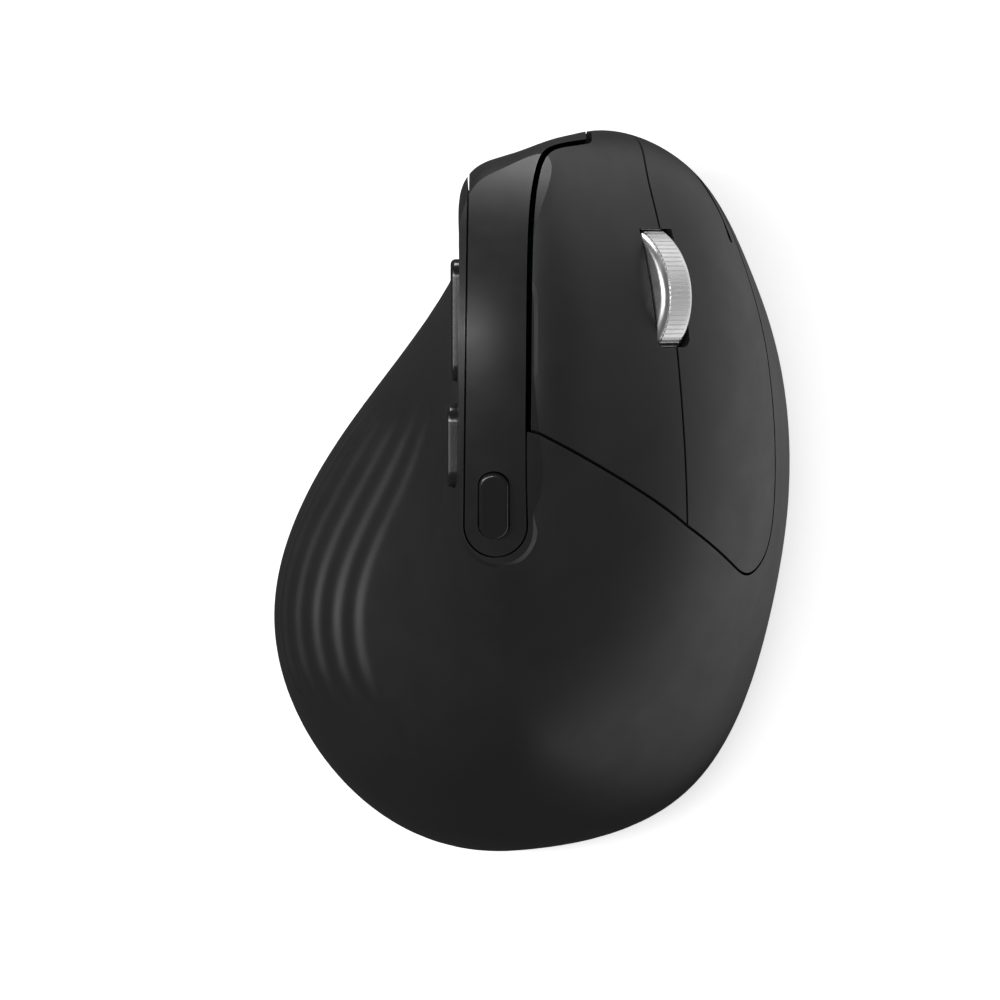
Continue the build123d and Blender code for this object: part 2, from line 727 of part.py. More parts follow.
def small_plunger(plane, place):
    """Plunger of one small tactile switch."""
    base = SMALL_TACT_HEIGHT + SMALL_PLUNGER_PROUD - SMALL_PLUNGER_HEIGHT
    with BuildPart() as plunger:
        with BuildSketch(plane.offset(base)):
            with Locations(place):
                Circle(SMALL_PLUNGER_RADIUS)
        extrude(amount=SMALL_PLUNGER_HEIGHT)
    return plunger


DPI_TACT = DPI.offset(DPI_BOARD_TOP)
dpi_switch = small_tact(DPI_TACT, [(0, 0)])
save(dpi_switch, "dpi_switch")
dpi_plunger = small_plunger(DPI_TACT, (0, 0))
save(dpi_plunger, "dpi_plunger")


# ================================================================ side buttons
def side_plane(place, x):
    """Plane facing out of the thumb wall, following the strip's slope."""
    tilt = radians(SIDE_TILT)
    return Plane(origin=(x, place[0], place[1]), x_dir=(0, cos(tilt), sin(tilt)), z_dir=(-1, 0, 0))


def side_block(place, grow, inner, outer, rounding):
    """Rounded bar along the thumb wall between two x positions."""
    with BuildPart() as bar:
        with BuildSketch(side_plane(place, inner)):
            SlotOverall(place[2] + 2 * grow, SIDE_HEIGHT + 2 * grow)
        extrude(amount=inner - outer)
        if rounding:
            fillet(bar.faces().sort_by(Axis.X)[0].edges(), rounding)
    return bar.part


def side_button(place, face, flange):
    """Side button with its inner flange and the stem that meets the switch."""
    flange_outer, flange_inner = flange
    with BuildPart() as button:
        add(side_block(place, 0, flange_outer, face, SIDE_FLANGE))
        with BuildSketch(side_plane(place, flange_inner)):
            Rectangle(place[2] - SIDE_HEIGHT, SIDE_HEIGHT + 2 * SIDE_FLANGE)
        extrude(amount=flange_inner - flange_outer)
        with BuildSketch(side_plane(place, SIDE_STEM_X)):
            with Locations((SIDE_STEM_SHIFT, 0)):
                Circle(SIDE_STEM_RADIUS)
        extrude(amount=SIDE_STEM_X - flange_inner)
    return button


forward_button = side_button(SIDE_FORWARD, FORWARD_FACE, FORWARD_FLANGE)
save(forward_button, "forward_button")
back_button = side_button(SIDE_BACK, BACK_FACE, BACK_FLANGE)
save(back_button, "back_button")

SIDE_TACT = Plane(origin=(SIDE_BOARD_X, 0, 0), x_dir=(0, -1, 0), z_dir=(-1, 0, 0))
side_places = [(-place[0] - SIDE_STEM_SHIFT, place[1]) for place in (SIDE_FORWARD, SIDE_BACK)]
side_post_places = [(-y, z) for y, z in SIDE_POSTS]
side_switches = small_tact(SIDE_TACT, side_places)
save(side_switches, "side_switches")
forward_plunger = small_plunger(SIDE_TACT, side_places[0])
save(forward_plunger, "forward_plunger")
back_plunger = small_plunger(SIDE_TACT, side_places[1])
save(back_plunger, "back_plunger")

with BuildPart() as side_board:
    with BuildSketch(SIDE_TACT):
        with BuildLine():
            Polyline(*[(-y, z) for y, z in SIDE_BOARD], close=True)
        make_face()
        with Locations(*side_post_places):
            Circle(SCREW_CLEARANCE_RADIUS, mode=Mode.SUBTRACT)
    extrude(amount=-THIN_BOARD)
save(side_board, "side_board")

# ================================================================ main shell
with BuildPart() as inner_posts:
    for x, y in SHELL_POSTS:
        add(post(x, y, POST_RADIUS, PARTING + PARTING_GAP, SKY))
    add(post(*NOSE_POST, POST_RADIUS, PARTING + PARTING_GAP, NOSE_POST_TOP))
    add(under_strip.part, mode=Mode.INTERSECT)

with BuildPart() as dpi_bosses:
    with BuildSketch(DPI.offset(DPI_BOARD_TOP)):
        with Locations(*DPI_SCREWS):
            Circle(BOSS_RADIUS)
    extrude(amount=DPI_ROOF_DEPTH - DPI_BOARD_TOP)
    add(strip_bed.part, mode=Mode.INTERSECT)

with BuildPart() as side_posts:
    with BuildSketch(SIDE_TACT):
        with Locations(*side_post_places):
            Circle(SIDE_POST_RADIUS)
    extrude(amount=SIDE_POST_LENGTH)

with BuildPart() as strip_recess:
    add(strip_zone(STRIP_GAP))
    add(strip_bed.part, mode=Mode.SUBTRACT)

with BuildPart() as main_shell:
    add(skin.part)
    with BuildSketch(Plane.XY.offset(PARTING + PARTING_GAP)):
        Rectangle(2 * SKY, 2 * SKY)
    extrude(amount=-SKY, mode=Mode.SUBTRACT)
    add(left_opening.part, mode=Mode.SUBTRACT)
    add(right_opening.part, mode=Mode.SUBTRACT)
    add(strip_recess.part, mode=Mode.SUBTRACT)
    add(dpi_hole, mode=Mode.SUBTRACT)
    add(dpi_room, mode=Mode.SUBTRACT)
    add(side_block(SIDE_FORWARD, SIDE_PLAY, FORWARD_FLANGE[1], 2 * FORWARD_FACE, 0),
        mode=Mode.SUBTRACT)
    add(side_block(SIDE_BACK, SIDE_PLAY, BACK_FLANGE[1], 2 * BACK_FACE, 0), mode=Mode.SUBTRACT)
    add(inner_posts.part)
    add(dpi_bosses.part)
    add(side_posts.part)
    for x, y in SHELL_POSTS + [NOSE_POST]:
        add(post(x, y, PILOT_RADIUS, PARTING, PILOT_TOP), mode=Mode.SUBTRACT)
    with BuildSketch(DPI.offset(DPI_BOARD_TOP)):
        with Locations(*DPI_SCREWS):
            Circle(PILOT_RADIUS)
    extrude(amount=KEY_SCREW_LENGTH - THIN_BOARD, mode=Mode.SUBTRACT)
    with BuildSketch(SIDE_TACT):
        with Locations(*side_post_places):
            Circle(PILOT_RADIUS)
    extrude(amount=KEY_SCREW_LENGTH - THIN_BOARD, mode=Mode.SUBTRACT)
save(main_shell, "main_shell")

# ================================================================ base
def door_outline(grow):
    """Width and length of the battery opening, grown on every side."""
    return BAY_WIDTH + 2 * grow, BAY_FRONT - BAY_REAR + 2 * grow


bay_middle = (CELL_X, (BAY_FRONT + BAY_REAR) / 2)
screw_places = SHELL_POSTS + [NOSE_POST] + FRAME_LEGS

plug_width, plug_length, plug_height = RECEIVER_PLUG
cap_width, cap_length, cap_height = RECEIVER_CAP


def receiver_room(play, low, high):
    """Stepped room that follows the receiver's outline."""
    with BuildPart() as room:
        with BuildSketch(Plane.XY.offset(low)):
            with Locations((RECEIVER_X - cap_width / 2, RECEIVER_Y)):
                Rectangle(plug_width + 2 * play, plug_length + 2 * play)
            with Locations((RECEIVER_X + plug_width / 2, RECEIVER_Y)):
                RectangleRounded(cap_width + 2 * play, cap_length + 2 * play, RECEIVER_CORNER)
        extrude(amount=high - low)
    return room.part


with BuildPart() as tray_room:
    add(cavity.part)
    with BuildSketch(Plane.XY.offset(FLOOR_TOP)):
        Rectangle(2 * SKY, 2 * SKY)
    extrude(amount=-SKY, mode=Mode.SUBTRACT)

with BuildPart() as base_shell:
    add(body.part)
    with BuildSketch(Plane.XY.offset(PARTING)):
        Rectangle(2 * SKY, 2 * SKY)
    extrude(amount=SKY, mode=Mode.SUBTRACT)
    add(tray_room.part, mode=Mode.SUBTRACT)
    for x, y in SHELL_POSTS + [NOSE_POST]:
        add(post(x, y, POST_RADIUS, FLOOR_TOP - 1, PARTING))
    for x, y in MAIN_SCREWS:
        add(post(x, y, COUNTERBORE_RADIUS, FLOOR_TOP - 1, MAIN_BOARD_BOTTOM))
    # walls of the battery bay
    with BuildSketch(Plane.XY.offset(FLOOR_TOP - 1)):
        with Locations(bay_middle):
            RectangleRounded(*door_outline(BAY_WALL), DOOR_CORNER)
            RectangleRounded(*door_outline(0), DOOR_CORNER - BAY_WALL, mode=Mode.SUBTRACT)
    extrude(amount=BAY_TOP - FLOOR_TOP + 1)
    with BuildSketch(Plane.XY.offset(FOOT_HEIGHT)):
        with Locations(bay_middle):
            RectangleRounded(*door_outline(0), DOOR_CORNER - BAY_WALL)
    extrude(amount=BAY_TOP, mode=Mode.SUBTRACT)
    with BuildSketch(Plane.XY.offset(FOOT_HEIGHT)):
        with Locations(bay_middle):
            RectangleRounded(*door_outline(DOOR_LEDGE + DOOR_GAP), DOOR_CORNER)
    extrude(amount=DOOR_LID_TOP - FOOT_HEIGHT + DOOR_LID_PLAY, mode=Mode.SUBTRACT)
    # well for the receiver
    add(receiver_room(RECEIVER_PLAY + RECEIVER_WALL, FLOOR_TOP - 1, RECEIVER_ROOF))
    add(receiver_room(RECEIVER_PLAY, FOOT_HEIGHT - 1, RECEIVER_BOTTOM + cap_height + RECEIVER_PLAY),
        mode=Mode.SUBTRACT)
    # power switch slot and well, optical window
    with BuildSketch(Plane.XY.offset(FOOT_HEIGHT)):
        with Locations((POWER_X, POWER_Y)):
            RectangleRounded(*KNOB_WELL, KNOB_WELL_CORNER)
    extrude(amount=KNOB_WELL_TOP - FOOT_HEIGHT, mode=Mode.SUBTRACT)
    with BuildSketch(Plane.XY.offset(FOOT_HEIGHT)):
        with Locations((POWER_X, POWER_Y)):
            Rectangle(KNOB[0] + 2 * KNOB_PLAY, KNOB[1] + POWER_TRAVEL + 2 * KNOB_PLAY)
        with Locations((SENSOR_X, SENSOR_Y)):
            RectangleRounded(*OPTIC_HOLE, OPTIC_CORNER)
    extrude(amount=FLOOR_TOP, mode=Mode.SUBTRACT)
    for x, y in screw_places:
        add(post(x, y, COUNTERBORE_RADIUS, FOOT_HEIGHT - 1, COUNTERBORE_TOP), mode=Mode.SUBTRACT)
        add(post(x, y, SCREW_CLEARANCE_RADIUS, FOOT_HEIGHT, PARTING + 1), mode=Mode.SUBTRACT)
    for x, y in MAIN_SCREWS:
        add(post(x, y, PILOT_RADIUS, FLOOR_TOP, MAIN_BOARD_TOP), mode=Mode.SUBTRACT)
save(base_shell, "base_shell")

with BuildPart() as glide_feet:
    for place, width, length, turn in FEET:
        with BuildSketch(Plane.XY):
            with Locations(Location((*place, 0), (0, 0, turn))):
                RectangleRounded(width, length, FOOT_CORNER)
        extrude(amount=FOOT_HEIGHT)
save(glide_feet, "glide_feet")

with BuildPart() as case_screws:
    for x, y in screw_places:
        add(post(x, y, SCREW_HEAD_RADIUS, SCREW_HEAD_BOTTOM, SCREW_HEAD_TOP))
        add(post(x, y, SCREW_SHANK_RADIUS, SCREW_HEAD_TOP, SCREW_TIP))
    with BuildSketch(Plane.XY.offset(SCREW_HEAD_BOTTOM)):
        with Locations(*screw_places):
            Rectangle(*SCREW_RECESS)
            Rectangle(*reversed(SCREW_RECESS))
    extrude(amount=SCREW_RECESS_DEPTH, mode=Mode.SUBTRACT)
save(case_screws, "case_screws")

# ================================================================ battery
CELL_AXIS = Plane(origin=(CELL_X, CELL_REAR, CELL_CENTRE_Z), x_dir=(1, 0, 0), z_dir=(0, 1, 0))

with BuildPart() as battery_cell:
    with BuildSketch(CELL_AXIS):
        Circle(CELL_RADIUS)
    extrude(amount=CELL_LENGTH)
    fillet(battery_cell.edges(), CELL_ROUNDING)
    with BuildSketch(CELL_AXIS.offset(CELL_LENGTH - INTO)):
        Circle(CELL_NUB_RADIUS)
    extrude(amount=CELL_NUB_LENGTH + INTO)
save(battery_cell, "battery_cell")

cell_front = CELL_LENGTH + CELL_NUB_LENGTH
with BuildPart() as battery_contact:
    with BuildSketch(CELL_AXIS.offset(cell_front)):
        RectangleRounded(CONTACT_SIZE, CONTACT_SIZE, CONTACT_CORNER)
    extrude(amount=CONTACT_THICKNESS)
save(battery_contact, "battery_contact")

with BuildPart() as battery_spring:
    with BuildSketch(CELL_AXIS.offset(-SPRING_LENGTH - CONTACT_THICKNESS)):
        RectangleRounded(CONTACT_SIZE, CONTACT_SIZE, CONTACT_CORNER)
    extrude(amount=CONTACT_THICKNESS)
    with BuildLine():
        coil = Helix(SPRING_PITCH, SPRING_LENGTH - SPRING_WIRE - 0.02, SPRING_RADIUS,
                     center=(CELL_X, CELL_REAR - SPRING_LENGTH, CELL_CENTRE_Z), direction=(0, 1, 0))
    with BuildSketch(Plane(origin=coil @ 0, z_dir=coil % 0)):
        Circle(SPRING_WIRE)
    sweep(path=coil, is_frenet=True)
save(battery_spring, "battery_spring")

with BuildPart() as battery_door:
    with BuildSketch(Plane.XY.offset(FOOT_HEIGHT + DOOR_LID_PLAY)):
        with Locations(bay_middle):
            RectangleRounded(*door_outline(DOOR_LEDGE), DOOR_CORNER - DOOR_GAP)
    extrude(amount=DOOR_LID_TOP - FOOT_HEIGHT - DOOR_LID_PLAY)
    with BuildSketch(Plane.XY.offset(DOOR_LID_TOP)):
        with Locations(bay_middle):
            RectangleRounded(*door_outline(-DOOR_GAP), DOOR_CORNER - BAY_WALL - DOOR_GAP)
    extrude(amount=FLOOR_TOP - DOOR_LID_TOP)
    with BuildSketch(Plane.XY.offset(FOOT_HEIGHT)):
        with Locations((CELL_X, BAY_FRONT - 2 * DOOR_GRIP_RADIUS)):
            SlotOverall(2 * DOOR_GRIP_RADIUS, DOOR_GRIP_RADIUS)
    extrude(amount=DOOR_LID_PLAY + DOOR_GRIP_DEPTH, mode=Mode.SUBTRACT)
save(battery_door, "battery_door")

# ================================================================ receiver
with BuildPart() as usb_receiver:
    with BuildSketch(Plane.XY.offset(RECEIVER_BOTTOM + (cap_height - plug_height) / 2)):
        with Locations((RECEIVER_X - cap_width / 2, RECEIVER_Y)):
            Rectangle(plug_width, plug_length)
    extrude(amount=plug_height)
    with BuildSketch(Plane.XY.offset(RECEIVER_BOTTOM)):
        with Locations((RECEIVER_X + plug_width / 2, RECEIVER_Y)):
            RectangleRounded(cap_width, cap_length, RECEIVER_CORNER)
    extrude(amount=cap_height)
save(usb_receiver, "usb_receiver")

# ================================================================ main board and optics
with BuildPart() as main_board:
    with BuildSketch(Plane.XY.offset(MAIN_BOARD_BOTTOM)):
        with BuildLine():
            Polyline(*MAIN_OUTLINE, close=True)
        make_face()
        with Locations(*MAIN_SCREWS):
            Circle(SCREW_CLEARANCE_RADIUS, mode=Mode.SUBTRACT)
        with Locations(FRAME_LEGS[1]):
            Circle(LEG_CLEARANCE, mode=Mode.SUBTRACT)
        with Locations((SENSOR_X, SENSOR_Y)):
            Rectangle(*SENSOR_WINDOW, mode=Mode.SUBTRACT)
    extrude(amount=MAIN_BOARD_TOP - MAIN_BOARD_BOTTOM)
save(main_board, "main_board")

with BuildPart() as sensor_lens:
    with BuildSketch(Plane.XY.offset(FLOOR_TOP)):
        with Locations((SENSOR_X, SENSOR_Y)):
            RectangleRounded(LENS_WIDTH, LENS_LENGTH, LENS_CORNER)
    extrude(amount=LENS_TOP - FLOOR_TOP)
    with BuildSketch(Plane.XY.offset(LENS_RING_BOTTOM)):
        with Locations((SENSOR_X, SENSOR_Y)):
            Circle(LENS_RING)
    extrude(amount=FLOOR_TOP - LENS_RING_BOTTOM)
save(sensor_lens, "sensor_lens")

with BuildPart() as optical_sensor:
    with BuildSketch(Plane.XY.offset(MAIN_BOARD_TOP)):
        with Locations((SENSOR_X, SENSOR_Y)):
            RectangleRounded(SENSOR_WIDTH, SENSOR_LENGTH, SENSOR_CORNER)
    extrude(amount=SENSOR_HEIGHT)
    with BuildSketch(Plane.XY.offset(MAIN_BOARD_TOP)):
        with Locations((SENSOR_X, SENSOR_Y)):
            Circle(SENSOR_EYE_RADIUS)
    extrude(amount=-SENSOR_EYE_DEPTH)
save(optical_sensor, "optical_sensor")

with BuildPart() as power_switch:
    with BuildSketch(Plane.XY.offset(POWER_BODY_BOTTOM)):
        with Locations((POWER_X, POWER_Y)):
            Rectangle(*POWER_BODY)
            Rectangle(KNOB[0] + 2 * KNOB_PLAY, KNOB[1] + POWER_TRAVEL + 2 * KNOB_PLAY,
                      mode=Mode.SUBTRACT)
    extrude(amount=POWER_SLOT_DEPTH)
    with BuildSketch(Plane.XY.offset(POWER_BODY_BOTTOM + POWER_SLOT_DEPTH)):
        with Locations((POWER_X, POWER_Y)):
            Rectangle(*POWER_BODY)
    extrude(amount=MAIN_BOARD_BOTTOM - POWER_BODY_BOTTOM - POWER_SLOT_DEPTH)
save(power_switch, "power_switch")

with BuildPart() as power_slider:
    with BuildSketch(Plane.XY.offset(KNOB_BOTTOM)):
        with Locations((POWER_X, POWER_Y - POWER_TRAVEL / 2)):
            Rectangle(*KNOB)
    extrude(amount=POWER_BODY_BOTTOM + POWER_SLOT_DEPTH - KNOB_PLAY - KNOB_BOTTOM)
    with BuildSketch(Plane.XY.offset(KNOB_BOTTOM)):
        with Locations(*[(POWER_X, POWER_Y - POWER_TRAVEL / 2 + shift) for shift in KNOB_GROOVES]):
            Rectangle(KNOB[0], KNOB_GROOVE_WIDTH)
    extrude(amount=KNOB_GROOVE_DEPTH, mode=Mode.SUBTRACT)
save(power_slider, "power_slider")

# ================================================================ wheel
with BuildPart() as wheel_tyre:
    with BuildSketch(WHEEL.offset(-TREAD_WIDTH / 2)):
        Circle(WHEEL_RADIUS)
        with PolarLocations(WHEEL_RADIUS, GROOVES):
            Circle(GROOVE_RADIUS, mode=Mode.SUBTRACT)
        Circle(TYRE_INNER, mode=Mode.SUBTRACT)
    extrude(amount=TREAD_WIDTH)
    for side in (-1, 1):
        with BuildSketch(Plane(WHEEL.offset(side * TREAD_WIDTH / 2).location)):
            Circle(WHEEL_RADIUS - GROOVE_RADIUS)
            Circle(TYRE_INNER, mode=Mode.SUBTRACT)
        extrude(amount=side * (WHEEL_WIDTH - TREAD_WIDTH) / 2)
    fillet(wheel_tyre.edges().filter_by(GeomType.CIRCLE).filter_by(
        lambda e: abs(abs((e.arc_center - wheel_centre).dot(FINGER_ACROSS)) - WHEEL_WIDTH / 2) < 0.01
        and e.radius > TYRE_INNER + 1), SHOULDER)
save(wheel_tyre, "wheel_tyre")

with BuildPart() as wheel_hub:
    with BuildSketch(WHEEL.offset(-HUB_WIDTH / 2)):
        Circle(TYRE_INNER)
        Circle(HUB_RIM, mode=Mode.SUBTRACT)
    extrude(amount=HUB_WIDTH)
    with BuildSketch(WHEEL.offset(-WEB_THICKNESS / 2)):
        Circle(HUB_RIM + INTO)
        with PolarLocations(WINDOW_RADIUS, ENCODER_WINDOWS):
            Rectangle(WINDOW_LENGTH, WINDOW_WIDTH, mode=Mode.SUBTRACT)
    extrude(amount=WEB_THICKNESS)
    with BuildSketch(WHEEL.offset(-HUB_BOSS_WIDTH / 2)):
        Circle(HUB_BOSS_RADIUS)
    extrude(amount=HUB_BOSS_WIDTH)
    with BuildSketch(WHEEL.offset(-AXLE_LENGTH / 2)):
        Circle(AXLE_RADIUS)
    extrude(amount=AXLE_LENGTH)
save(wheel_hub, "wheel_hub")


def across_pin(x, y, depth, radius, length):
    """Round pin along the wheel's axle direction, starting at x."""
    start = FINGER.from_local_coords(Vector(x, y, -depth))
    with BuildPart() as pin:
        with BuildSketch(Plane(origin=start, x_dir=FINGER_FORWARD, z_dir=FINGER_ACROSS)):
            Circle(radius)
        extrude(amount=length)
    return pin.part


arm_middle = ARM_INNER + ARM_THICKNESS / 2
arm_length = ARM_FRONT - ARM_REAR
with BuildPart() as wheel_cradle:
    for side in (-1, 1):
        add(finger_box(WHEEL_X + side * arm_middle, (ARM_FRONT + ARM_REAR) / 2,
                       ARM_THICKNESS, arm_length, ARM_LOW, ARM_HIGH))
    add(finger_box(WHEEL_X, ARM_FRONT - BAR_WIDTH / 2, 2 * ARM_INNER, BAR_WIDTH,
                   FRONT_BAR_LOW, FRONT_BAR_HIGH))
    add(finger_box(WHEEL_X, ARM_REAR + REAR_BAR_WIDTH / 2, 2 * ARM_INNER, REAR_BAR_WIDTH,
                   ARM_LOW, ARM_HIGH))
    for side in (-1, 1):
        start = WHEEL_X + side * (ARM_INNER + ARM_THICKNESS)
        add(across_pin(start, CRADLE_PIVOT_Y, CRADLE_PIVOT_DEPTH, PEG_RADIUS, side * CRADLE_PEG))
    add(across_pin(WHEEL_X - 2 * ARM_INNER, 0, WHEEL_DEPTH, AXLE_RADIUS + RUNNING, 4 * ARM_INNER),
        mode=Mode.SUBTRACT)
save(wheel_cradle, "wheel_cradle")

# ================================================================ key frame
ear_start = ARM_INNER + ARM_THICKNESS + EAR_GAP

with BuildPart() as leg_reach:
    with BuildSketch(FINGER.offset((FRAME_LOW + FRAME_HIGH) / 2)):
        Rectangle(4 * SKY, 4 * SKY)
    extrude(amount=-SKY)

with BuildPart() as frame_legs:
    for x, y in FRAME_LEGS:
        add(post(x, y, POST_RADIUS, FLOOR_TOP + PARTING_GAP, SKY / 2))
    add(leg_reach.part, mode=Mode.INTERSECT)

with BuildPart() as key_frame:
    add(finger_plate(FRAME_OUTLINE, FRAME_LOW, FRAME_HIGH))
    add(finger_box(WHEEL_X, 0, WHEEL_WINDOW, WHEEL_WINDOW_LENGTH, FRAME_LOW - 1, FRAME_HIGH + 1),
        mode=Mode.SUBTRACT)
    for along, side in LEFT_LUGS + RIGHT_LUGS:
        middle = along + side * (LUG_WIDTH / 2 + EAR_GAP + EAR_WIDTH / 2)
        with BuildSketch(HINGE.offset(FRAME_HIGH + HINGE_DEPTH - INTO)):
            with Locations((middle, 0)):
                Rectangle(EAR_WIDTH, LUG_DEPTH)
        extrude(amount=EAR_ABOVE - FRAME_HIGH - HINGE_DEPTH + INTO)
    for along, side in LEFT_LUGS + RIGHT_LUGS:
        face = along + side * LUG_WIDTH / 2
        start = HINGE.from_local_coords(Vector(face, 0, 0))
        with BuildSketch(Plane(origin=start, z_dir=hinge_axis * side)):
            Circle(PEG_RADIUS + RUNNING)
        extrude(amount=EAR_GAP + EAR_WIDTH + 1, mode=Mode.SUBTRACT)
    for side in (-1, 1):
        add(finger_box(WHEEL_X + side * (ear_start + CRADLE_EAR / 2), CRADLE_PIVOT_Y, CRADLE_EAR,
                       LUG_DEPTH, FRAME_HIGH - INTO, EAR_ABOVE - CRADLE_PIVOT_DEPTH))
    add(across_pin(WHEEL_X - 2 * ear_start, CRADLE_PIVOT_Y, CRADLE_PIVOT_DEPTH, PEG_RADIUS + RUNNING,
                   4 * ear_start),
        mode=Mode.SUBTRACT)
    for x, y in KEY_SCREWS:
        add(finger_disc(x, y, KEY_SCREW_BOSS, FRAME_LOW - KEY_SCREW_BOSS_HEIGHT, FRAME_LOW + INTO))
    add(frame_legs.part)
    for x, y in KEY_SCREWS:
        add(finger_disc(x, y, PILOT_RADIUS, BOARD_TOP - KEY_SCREW_LENGTH - PILOT_END, BOARD_TOP),
            mode=Mode.SUBTRACT)
    for x, y in FRAME_LEGS:
        add(post(x, y, PILOT_RADIUS, FLOOR_TOP, PILOT_TOP), mode=Mode.SUBTRACT)
save(key_frame, "key_frame")

with BuildPart() as key_board:
    add(finger_plate(BOARD_OUTLINE, FRAME_HIGH, BOARD_TOP))
    add(finger_box(WHEEL_X, 0, BOARD_SLOT, BOARD_SLOT_LENGTH, FRAME_HIGH - 1, BOARD_TOP + 1),
        mode=Mode.SUBTRACT)
    add(finger_box(WHEEL_X, CRADLE_PIVOT_Y, EAR_NOTCH_X, EAR_NOTCH_Y, FRAME_HIGH - 1, BOARD_TOP + 1),
        mode=Mode.SUBTRACT)
    for x, y in KEY_SCREWS:
        add(finger_disc(x, y, SCREW_CLEARANCE_RADIUS, FRAME_HIGH - 1, BOARD_TOP + 1),
            mode=Mode.SUBTRACT)
save(key_board, "key_board")


def micro_switch(place):
    """Body of a button microswitch with a pocket for its plunger."""
    with BuildPart() as switch:
        add(finger_box(*place, SWITCH_WIDTH, SWITCH_LENGTH, BOARD_TOP, BOARD_TOP + SWITCH_HEIGHT))
        add(finger_box(*place, PLUNGER_WIDTH + 2 * PLUNGER_PLAY, PLUNGER_LENGTH + 2 * PLUNGER_PLAY,
                       BOARD_TOP + SWITCH_HEIGHT - POCKET_DEPTH, KEY_TOP), mode=Mode.SUBTRACT)
    return switch


def micro_plunger(place):
    """Plunger of a button microswitch."""
    with BuildPart() as plunger:
        add(finger_box(*place, PLUNGER_WIDTH, PLUNGER_LENGTH, PLUNGER_TOP - PLUNGER_HEIGHT,
                       PLUNGER_TOP))
    return plunger


left_switch = micro_switch(LEFT_SWITCH)
save(left_switch, "left_switch")
right_switch = micro_switch(RIGHT_SWITCH)
save(right_switch, "right_switch")
left_plunger = micro_plunger(LEFT_SWITCH)
save(left_plunger, "left_plunger")
right_plunger = micro_plunger(RIGHT_SWITCH)
save(right_plunger, "right_plunger")

with BuildPart() as wheel_switch:
    add(finger_box(WHEEL_X, TACT_Y, TACT_SIZE, TACT_SIZE, BOARD_TOP, BOARD_TOP + TACT_HEIGHT))
    add(finger_disc(WHEEL_X, TACT_Y, TACT_PLUNGER_RADIUS + RUNNING,
                    BOARD_TOP + TACT_HEIGHT - TACT_POCKET, KEY_TOP), mode=Mode.SUBTRACT)
save(wheel_switch, "wheel_switch")

tact_top = BOARD_TOP + TACT_HEIGHT + TACT_PLUNGER_PROUD
with BuildPart() as wheel_plunger:
    add(finger_disc(WHEEL_X, TACT_Y, TACT_PLUNGER_RADIUS, tact_top - TACT_PLUNGER_HEIGHT, tact_top))
save(wheel_plunger, "wheel_plunger")


def scroll_part(side):
    """Optical emitter or detector that looks through the hub's windows."""
    middle = WHEEL_X + side * SCROLL_OFFSET
    with BuildPart() as half:
        add(finger_box(middle, 0, SCROLL_WIDTH, SCROLL_LENGTH, BOARD_TOP - BOARD_THICKNESS
                       - SCROLL_HEIGHT, BOARD_TOP - BOARD_THICKNESS))
    return half


scroll_emitter = scroll_part(-1)
save(scroll_emitter, "scroll_emitter")
scroll_detector = scroll_part(1)
save(scroll_detector, "scroll_detector")

# ================================================================ small screws
with BuildPart() as board_screws:
    for x, y in KEY_SCREWS:
        add(finger_disc(x, y, SCREW_HEAD_RADIUS, BOARD_TOP, BOARD_TOP + BOARD_SCREW_HEAD))
        add(finger_disc(x, y, SCREW_SHANK_RADIUS, BOARD_TOP - KEY_SCREW_LENGTH, BOARD_TOP))
    for x, y in MAIN_SCREWS:
        add(post(x, y, SCREW_HEAD_RADIUS, MAIN_BOARD_TOP, MAIN_BOARD_TOP + BOARD_SCREW_HEAD))
        add(post(x, y, SCREW_SHANK_RADIUS, MAIN_BOARD_TOP - SHORT_SCREW_LENGTH, MAIN_BOARD_TOP))
    with BuildSketch(DPI.offset(DPI_BOARD_TOP - THIN_BOARD)):
        with Locations(*DPI_SCREWS):
            Circle(SCREW_HEAD_RADIUS)
    extrude(amount=-LOW_SCREW_HEAD)
    with BuildSketch(DPI.offset(DPI_BOARD_TOP - THIN_BOARD)):
        with Locations(*DPI_SCREWS):
            Circle(SCREW_SHANK_RADIUS)
    extrude(amount=SHORT_SCREW_LENGTH)
    with BuildSketch(SIDE_TACT.offset(-THIN_BOARD)):
        with Locations(*side_post_places):
            Circle(SCREW_HEAD_RADIUS)
    extrude(amount=-LOW_SCREW_HEAD)
    with BuildSketch(SIDE_TACT.offset(-THIN_BOARD)):
        with Locations(*side_post_places):
            Circle(SCREW_SHANK_RADIUS)
    extrude(amount=SHORT_SCREW_LENGTH)
save(board_screws, "board_screws")
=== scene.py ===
"""Looks of a right-hand vertical computer mouse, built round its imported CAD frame.

Metres, +Z up from the desk, +Y towards the fingertips, +X towards the finger side.
"""

import json

import bmesh
import bpy
import numpy as np
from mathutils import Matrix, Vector
from mathutils.bvhtree import BVHTree


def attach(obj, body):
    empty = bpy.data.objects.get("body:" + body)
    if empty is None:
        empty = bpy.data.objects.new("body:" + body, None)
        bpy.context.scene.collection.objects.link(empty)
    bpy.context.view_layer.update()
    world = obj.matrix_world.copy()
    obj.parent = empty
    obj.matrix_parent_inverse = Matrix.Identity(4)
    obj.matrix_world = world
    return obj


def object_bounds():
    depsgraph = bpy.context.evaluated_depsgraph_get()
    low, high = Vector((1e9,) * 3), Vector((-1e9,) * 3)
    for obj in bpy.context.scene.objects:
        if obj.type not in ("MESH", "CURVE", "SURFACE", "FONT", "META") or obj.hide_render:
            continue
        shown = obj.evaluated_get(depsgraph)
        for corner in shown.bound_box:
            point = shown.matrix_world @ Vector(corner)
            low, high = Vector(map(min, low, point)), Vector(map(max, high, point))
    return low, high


MM = 0.001

# Camera, straight above the desk
CAMERA_HEIGHT = 760 * MM
CAMERA_SHIFT = (-5.3 * MM, -0.45 * MM)
LENS = 161.96
SENSOR = 36.0

